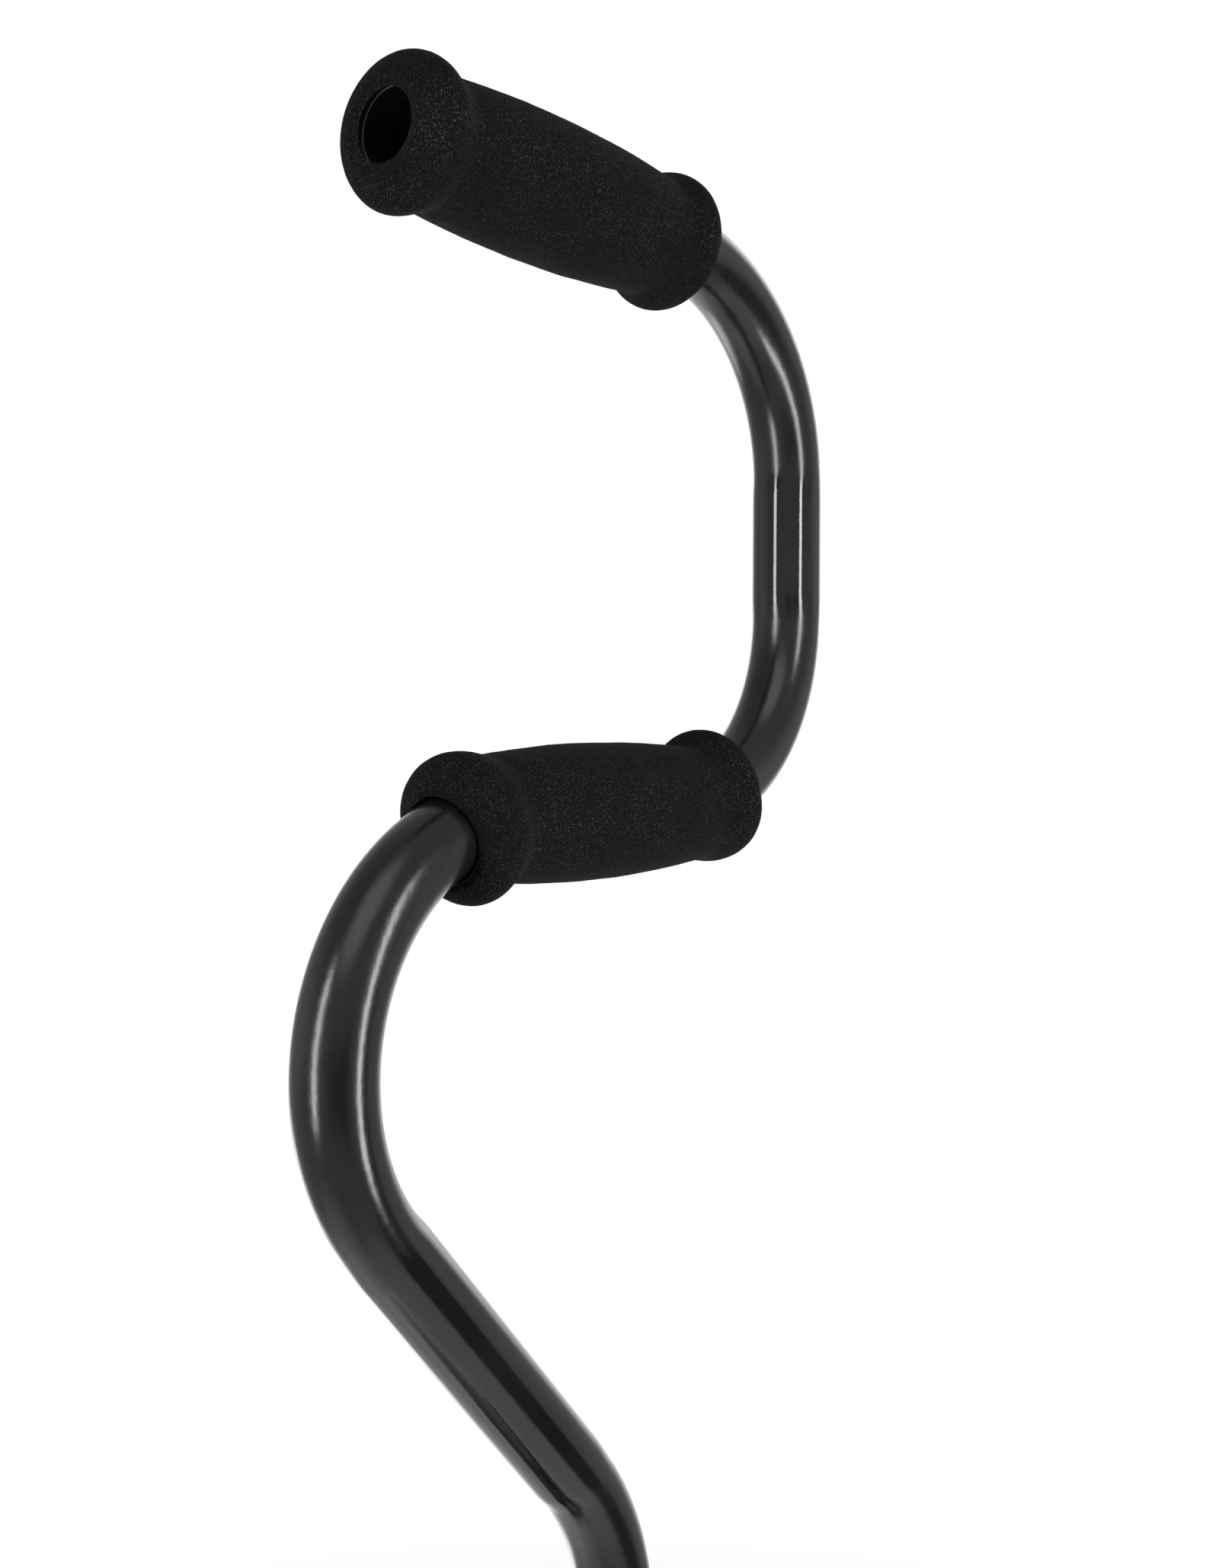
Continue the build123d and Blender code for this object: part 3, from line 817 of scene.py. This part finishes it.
# ---- lock nut -------------------------------------------------------------------------------
def lobed(depth):
    """Grooves between the lobes, cut only in the outermost part of the ring."""
    outer = high("lock_nut").x
    rim = 0.14 * outer

    def shape(radius, height, turn):
        groove = (0.5 + 0.5 * cos(NUT_LOBES * turn)) ** 2.2
        share = max(0.0, (radius - outer + rim) / rim)
        return radius - depth * groove * min(1.0, share)

    return shape


def lock_nut():
    base = low("lock_nut").z
    top = high("lock_nut").z
    outer = high("lock_nut").x + 0.2 * MM
    hole = STEM_RADIUS + 0.5 * MM
    cavity = NUT_CAVITY_RADIUS
    inset = 1.6 * MM
    chamfer = 1.8 * MM
    corners = [(hole, base), (outer - inset, base), (outer, base + chamfer), (outer, top - chamfer),
               (outer - inset, top), (cavity, top), (cavity, base + 12 * MM),
               (cavity - 2.2 * MM, base + 6 * MM), (hole, base + 5.8 * MM)]
    profile = rounded(corners, 0.9 * MM)
    return lathe("lock_nut_lobed", profile, 240, lobed(NUT_GROOVE_DEPTH))


nut = lock_nut()
paint(nut, nut_plastic)
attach(nut, "nut")
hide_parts("lock_nut")


# ---- stem -----------------------------------------------------------------------------------
stem_low = low("stem_tube").z
stem_path = Path(0.0, stem_low, 90.0).line(high("stem_tube").z - stem_low)
button_height = middle("snap_button").z - stem_low
stem = drilled_tube("stem_tube_drawn", stem_path.stations, STEM_RADIUS, STEM_WALL,
                    [button_height], (-1,), STEM_HOLE_RADIUS)
paint(stem, stem_steel)
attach(stem, "base")
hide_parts("stem_tube")


# ---- button spring --------------------------------------------------------------------------
def spring_strip():
    """Bent steel strip with eased edges, and its fold, its far arm's top and its front arm's knee."""
    half = SPRING_THICKNESS / 2
    lowest = low("button_spring")
    highest = high("button_spring")
    front = lowest.x + half
    wall = highest.x - half
    knee = highest.z - SPRING_ARM
    fold = (SPRING_FOLD_PLACE, middle("snap_button").z - SPRING_DROP)
    corners = [(front, highest.z), (front, knee), fold, (wall, knee), (wall, highest.z)]
    route = filleted_path(corners, SPRING_BEND_RADIUS, step=0.8 * MM)
    ease = 0.1 * MM
    edge = highest.y
    section = []
    for side, across in ((-1, -1), (1, -1), (1, 1), (-1, 1)):
        first = (side * half, across * (edge - ease))
        second = (side * (half - ease), across * edge)
        section += [first, second] if side * across > 0 else [second, first]
    points = []
    for x, z, heading, _, _ in route.stations:
        points += [ring_point(x, z, heading, side, across) for side, across in section]
    count = len(route.stations)
    size = len(section)
    faces = ring_faces(count, size, False)
    faces += [tuple(range(size))[::-1], tuple(range((count - 1) * size, count * size))]
    strip = make_object("button_spring_bent", points, faces)
    return strip, Vector((*fold, 0.0)).xzy, Vector((wall, 0.0, highest.z)), Vector((front, 0.0, knee))


def add_spring():
    """The button's spring strip, bent and painted, set in place with its transform baked in."""
    strip, fold, wall, front = spring_strip()
    paint(strip, spring_steel)
    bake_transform(strip)
    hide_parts("button_spring")


add_spring()


# ---- legs and tips --------------------------------------------------------------------------
def leg_stations(foot_reach, hub_height, upright_end):
    """From under the hub plates outwards, down at the splay and upright into the tip."""
    splay = radians(LEG_SPLAY)
    fall = hub_height - LEG_UPRIGHT_TOP - LEG_BEND_RADIUS
    reach = LEG_BEND_RADIUS * cos(splay) + fall * tan(splay) + LEG_BEND_RADIUS * (1 - cos(splay))
    leg_path = Path(LEG_INNER_END, hub_height, 0.0)
    leg_path.line(foot_reach - reach - LEG_INNER_END)
    leg_path.arc(-(90 - LEG_SPLAY), LEG_BEND_RADIUS)
    leg_path.line(fall / cos(splay))
    leg_path.arc(-LEG_SPLAY, LEG_BEND_RADIUS)
    leg_path.line(leg_path.z - upright_end)
    return leg_path.stations


def add_leg(place, hub_height, segments=56):
    foot = middle("tip_" + place)
    turn = atan2(foot.y, foot.x)
    stations = leg_stations(hypot(foot.x, foot.y), hub_height, high("tip_washers").z)
    layers = [(s[4], LEG_RADIUS) for s in stations]
    layers += [(s[4], LEG_RADIUS - LEG_WALL) for s in reversed(stations)]
    points = []
    bends = []
    for s, r in layers:
        x, z, heading, _ = along(stations, s)
        share = abs(bend_share(stations, s))
        flat = r * (1 - LEG_FLATTENING * share)
        for j in range(segments):
            angle = 2 * pi * j / segments
            px, py, pz = ring_point(x, z, heading, flat * cos(angle), r * sin(angle))
            points.append((px * cos(turn) - py * sin(turn), px * sin(turn) + py * cos(turn), pz))
            bends.append(share)
    leg = make_object("leg_" + place + "_bent", points, ring_faces(len(layers), segments, True))
    add_values(leg, "bend", bends)
    paint(leg, base_enamel)
    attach(leg, "base")
    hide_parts("leg_" + place)


def tip_outline(top):
    """(radius, height) corners: grooved sole, flared foot, ribbed skirt, and the leg's socket."""
    hole = 0.6 * MM
    corners = [(hole, 0.0)]
    for inner, outer in ((3.6 * MM, 6.3 * MM), (7.8 * MM, 10.3 * MM)):
        slope = 0.3 * MM
        groove = 1.4 * MM
        corners += [(inner, 0.0), (inner + slope, groove), (outer - slope, groove), (outer, 0.0)]
    corners += [(TIP_SOLE_RADIUS, 0.0), (TIP_FOOT_RADIUS, 1.1 * MM), (14.3 * MM, 4.4 * MM),
                (12.9 * MM, 8.5 * MM), (12.1 * MM, 12.5 * MM), (11.6 * MM, 16.6 * MM)]
    skirt = 11.3 * MM
    raised = 12.0 * MM
    for rib in range(TIP_RIBS):
        start = top - 14.6 * MM + 4 * MM * rib
        corners += [(skirt, start - 1.2 * MM), (raised, start), (raised, start + 1.6 * MM),
                    (skirt, start + 2.4 * MM)]
    socket = LEG_RADIUS + 0.04 * MM
    corners += [(11.2 * MM, top - 1.6 * MM), (10.6 * MM, top), (socket + 0.5 * MM, top),
                (socket, top - 0.8 * MM), (socket, TIP_FLOOR), (hole, TIP_FLOOR)]
    return corners


def add_tip(place):
    centre = middle("tip_" + place)
    profile = rounded(tip_outline(high("tip_" + place).z), 0.5 * MM, 3)
    tip = lathe("tip_" + place + "_moulded", profile, 96, None, (centre.x, centre.y), sharp_angle=50.0)
    paint(tip, rubber)
    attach(tip, "base")
    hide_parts("tip_" + place)


hub_height = (low("hub_top_plate").z + high("hub_bottom_plate").z) / 2
for place in LEGS:
    add_leg(place, hub_height)
    add_tip(place)


# ---- hub ------------------------------------------------------------------------------------
def hub_collar():
    """Turned boss with a rippled weld bead round its foot."""
    base = low("hub_collar").z
    top = high("hub_collar").z
    bore = STEM_RADIUS + 0.05 * MM
    boss = BOSS_RADIUS
    weld = [(boss + 2.6 * MM, base), (boss + 2.2 * MM, base + 1.4 * MM), (boss + 1.3 * MM, base + 2.6 * MM),
            (boss + 0.3 * MM, base + 3.3 * MM), (boss, base + 4.2 * MM)]
    rim = [(boss, top - 1.2 * MM), (boss - 1.1 * MM, top), (bore + 0.5 * MM, top), (bore, top - 0.5 * MM)]

    def ripple(radius, height, turn):
        on_boss = radius > boss - 0.1 * MM
        share = max(0.0, 1 - (height - base) / WELD_HEIGHT) if on_boss else 0.0
        return radius + share * WELD_RIPPLE * abs(sin(19 * turn + 0.6 * sin(3 * turn)))

    profile = rounded([(bore, base)] + weld + rim, 0.6 * MM)
    return lathe("hub_collar_welded", profile, 288, ripple)


collar = hub_collar()
paint(collar, base_enamel)
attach(collar, "base")
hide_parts("hub_collar")


def hex_bolt():
    """Hex bolt with chamfered corners, its shank up through the hub."""
    base = low("hub_bolt").z
    top = high("hub_bolt").z
    head_top = low("hub_washer").z

    def shape(radius, height, turn):
        return min(radius, BOLT_FLAT / cos((turn % (pi / 3)) - pi / 6))

    head = [(0.4 * MM, base), (4.6 * MM, base), (6.2 * MM, base + 0.15 * MM), (6.9 * MM, base + 0.55 * MM),
            (BOLT_CORNER, base + 1.0 * MM), (BOLT_CORNER, head_top)]
    shank = [(BOLT_SHANK, head_top), (BOLT_SHANK, top - 0.6 * MM), (BOLT_SHANK - 0.6 * MM, top)]
    return lathe("hub_bolt_hex", head + shank, 144, shape, closed=False)


bolt = hex_bolt()
paint(bolt, zinc_steel)
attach(bolt, "base")
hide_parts("hub_bolt")


def rivets():
    """Two rivets through each leg, with a dome on both sides."""
    top = high("leg_rivets").z
    base = low("leg_rivets").z
    rise = top - high("hub_top_plate").z
    gap = 0.05 * MM
    lower_dome = []
    for k in range(11):
        angle = pi / 2 * k / 10
        radius = max(0.15 * MM, RIVET_HEAD_RADIUS * sin(angle))
        lower_dome.append((radius, base + rise * (1 - cos(angle))))
    upper_dome = [(radius, top + base - height) for radius, height in reversed(lower_dome)]
    shank = [(RIVET_SHANK_RADIUS, base + rise + gap), (RIVET_SHANK_RADIUS, top - rise - gap)]
    profile = lower_dome + shank + upper_dome
    pieces = []
    for place in LEGS:
        foot = middle("tip_" + place)
        turn = atan2(foot.y, foot.x)
        for reach in RIVET_PLACES:
            centre = (reach * cos(turn), reach * sin(turn))
            pieces.append(lathe("rivet", profile, 48, None, centre, closed=False))
    return join("leg_rivets_domed", pieces)


rivet_set = rivets()
paint(rivet_set, bright_steel)
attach(rivet_set, "base")
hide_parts("leg_rivets")


# ---- CAD pieces that stay, with their finishes ----------------------------------------------
kept_finishes = {
    "lock_collar": collar_plastic,
    "stem_glide": glide_plastic,
    "snap_button": bright_steel,
    "stem_plug": zinc_steel,
    "hub_top_plate": base_enamel,
    "hub_bottom_plate": base_enamel,
    "hub_washer": zinc_steel,
    "tip_washers": zinc_steel,
}
for node, finish in kept_finishes.items():
    paint(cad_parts[node], finish)


# ---- floor, light and camera ----------------------------------------------------------------
CAMERA_PLACE = Vector((-441.1, -342.6, 685.4)) * MM
CAMERA_YAW = 0.671             # radians
CAMERA_PITCH = -0.001
CAMERA_ROLL = 0.006
CAMERA_LENS = 39.26            # millimetres, as the sensor's width
CAMERA_SENSOR = 36.0
CAMERA_RANGE = (0.01, 60.0)
FLOOR_HALF = 20.0
FLOOR_FADE = (0.25, 1.0)       # from the cane's axis, where the floor turns to the surround's white


def camera_axes():
    level_forward = Vector((cos(CAMERA_YAW), sin(CAMERA_YAW), 0.0))
    forward = level_forward * cos(CAMERA_PITCH) + Vector((0.0, 0.0, sin(CAMERA_PITCH)))
    level = Vector((sin(CAMERA_YAW), -cos(CAMERA_YAW), 0.0))
    upright = level.cross(forward)
    right = level * cos(CAMERA_ROLL) + upright * sin(CAMERA_ROLL)
    up = upright * cos(CAMERA_ROLL) - level * sin(CAMERA_ROLL)
    return right, up, forward


def add_camera():
    data = bpy.data.cameras.new("camera")
    data.lens = CAMERA_LENS
    data.sensor_width = CAMERA_SENSOR
    data.clip_start, data.clip_end = CAMERA_RANGE
    obj = bpy.data.objects.new("camera", data)
    right, up, forward = camera_axes()
    turn = Matrix((right, up, -forward)).transposed().to_4x4()
    obj.matrix_world = Matrix.Translation(CAMERA_PLACE) @ turn
    bpy.context.scene.collection.objects.link(obj)
    bpy.context.scene.camera = obj


def add_floor():
    """Pale floor that lightens to the white of the surround a metre from the cane."""
    half = FLOOR_HALF
    corners = [(-half, -half, 0.0), (half, -half, 0.0), (half, half, 0.0), (-half, half, 0.0)]
    floor = make_object("floor", corners, [(0, 1, 2, 3)])
    f = Finish("pale_floor").set(Specular_IOR_Level=0.1, Roughness=0.9)
    f.color(f.mix(f.noise(0.4, 2.0), (0.86, 0.86, 0.86), (0.88, 0.88, 0.88)))
    away = f.node("ShaderNodeVectorMath", f.coordinates, operation="LENGTH").outputs["Value"]
    fade = f.ramp(away, *FLOOR_FADE, 0.0, 1.0)
    white = f.node("ShaderNodeEmission").outputs["Emission"]
    both = f.node("ShaderNodeMixShader", fade, f.shader.outputs["BSDF"], white)
    f.link(both.outputs["Shader"], f.nodes["Material Output"].inputs["Surface"])
    paint(floor, f.material)
    floor.visible_glossy = False


def studio_direction(azimuth, elevation):
    """A direction by degrees right of the way the camera looks, and degrees up."""
    angle = CAMERA_YAW - radians(azimuth)
    level = cos(radians(elevation))
    return Vector((level * cos(angle), level * sin(angle), sin(radians(elevation))))


def add_strip(name, low_end, high_end, width, radiance):
    """A strip softbox between two ends, facing the handle; each end is (ahead, right, height)."""
    ahead = studio_direction(0, 0)
    right = studio_direction(90, 0)
    ends = []
    for forward, aside, height in (low_end, high_end):
        place = CAMERA_PLACE + ahead * forward + right * aside
        ends.append(Vector((place.x, place.y, height)))
    centre = (ends[0] + ends[1]) / 2
    upward = (ends[1] - ends[0]).normalized()
    facing = Vector((0.0, 0.0, centre.z)) - centre
    back = -(facing - upward * facing.dot(upward)).normalized()
    data = bpy.data.lights.new(name, "AREA")
    data.shape = "RECTANGLE"
    data.size = width
    data.size_y = (ends[1] - ends[0]).length
    data.energy = radiance * pi * data.size * data.size_y
    obj = bpy.data.objects.new(name, data)
    turn = Matrix((upward.cross(back), upward, back)).transposed().to_4x4()
    obj.matrix_world = Matrix.Translation(centre) @ turn
    obj.visible_camera = False
    bpy.context.scene.collection.objects.link(obj)


# strip softboxes: name, low end, high end, width in metres and radiance; ends as add_strip has them
STRIPS = (
    ("strip_right", (0.338, 0.300, 0.42), (0.172, 0.462, 0.97), 0.080, 16.0),
    ("strip_left", (-0.336, -0.939, 0.10), (-0.336, -0.939, 1.32), 0.22, 13.0),
)
# soft patches of the surround, shade where the last number is less than zero:
# azimuth, elevation, full and outer radius in degrees, and brightness added to SURROUND
SURROUND = 0.45
LOBES = (
    (0, -12, 20, 42, 0.85),
    (32, 18, 11, 24, 1.8),
    (-34, -27, 6, 17, 2.5),
    (-88, 8, 6, 24, 0.25),
    (78, 7, 7, 24, 0.25),
    (-20, -66, 10, 40, 0.45),
    (-110, -66, 14, 28, 0.45),
    (108, -68, 19, 29, 0.45),
    (20, -82, 9, 14, -0.95),
    (98, -25, 16, 23, -0.40),
    (154, -10, 9, 18, -0.36),
    (180, -10, 9, 18, -0.28),
    (90, -2, 3, 12, -0.15),
    (-170, 52, 11, 28, 1.3),
    (-95, 50, 15, 50, -0.15),
)


def add_world():
    """White surround seen by the camera; soft patches of light and shade for everything else."""
    world = bpy.data.worlds.new("studio")
    world.use_nodes = True
    tree = world.node_tree
    tree.nodes.clear()
    direction = new_node(tree, "ShaderNodeTexCoord").outputs["Generated"]
    total = SURROUND
    for azimuth, elevation, full, outer, gain in LOBES:
        facing = new_node(tree, "ShaderNodeVectorMath", direction, studio_direction(azimuth, elevation),
                          operation="DOT_PRODUCT").outputs["Value"]
        share = new_node(tree, "ShaderNodeMapRange", facing, cos(radians(outer)), cos(radians(full)))
        share.interpolation_type = "SMOOTHSTEP"
        level = new_node(tree, "ShaderNodeMath", share.outputs["Result"], gain, total,
                         operation="MULTIPLY_ADD")
        total = level.outputs["Value"]
    white = (1.0, 1.0, 1.0, 1.0)
    soft = new_node(tree, "ShaderNodeBackground", white, total).outputs["Background"]
    plain = new_node(tree, "ShaderNodeBackground", white).outputs["Background"]
    camera_ray = new_node(tree, "ShaderNodeLightPath").outputs["Is Camera Ray"]
    both = new_node(tree, "ShaderNodeMixShader", camera_ray, soft, plain)
    new_node(tree, "ShaderNodeOutputWorld", both.outputs["Shader"])
    bpy.context.scene.world = world


add_camera()
add_floor()
add_world()
for strip in STRIPS:
    add_strip(*strip)
bpy.context.scene.view_settings.view_transform = "Standard"
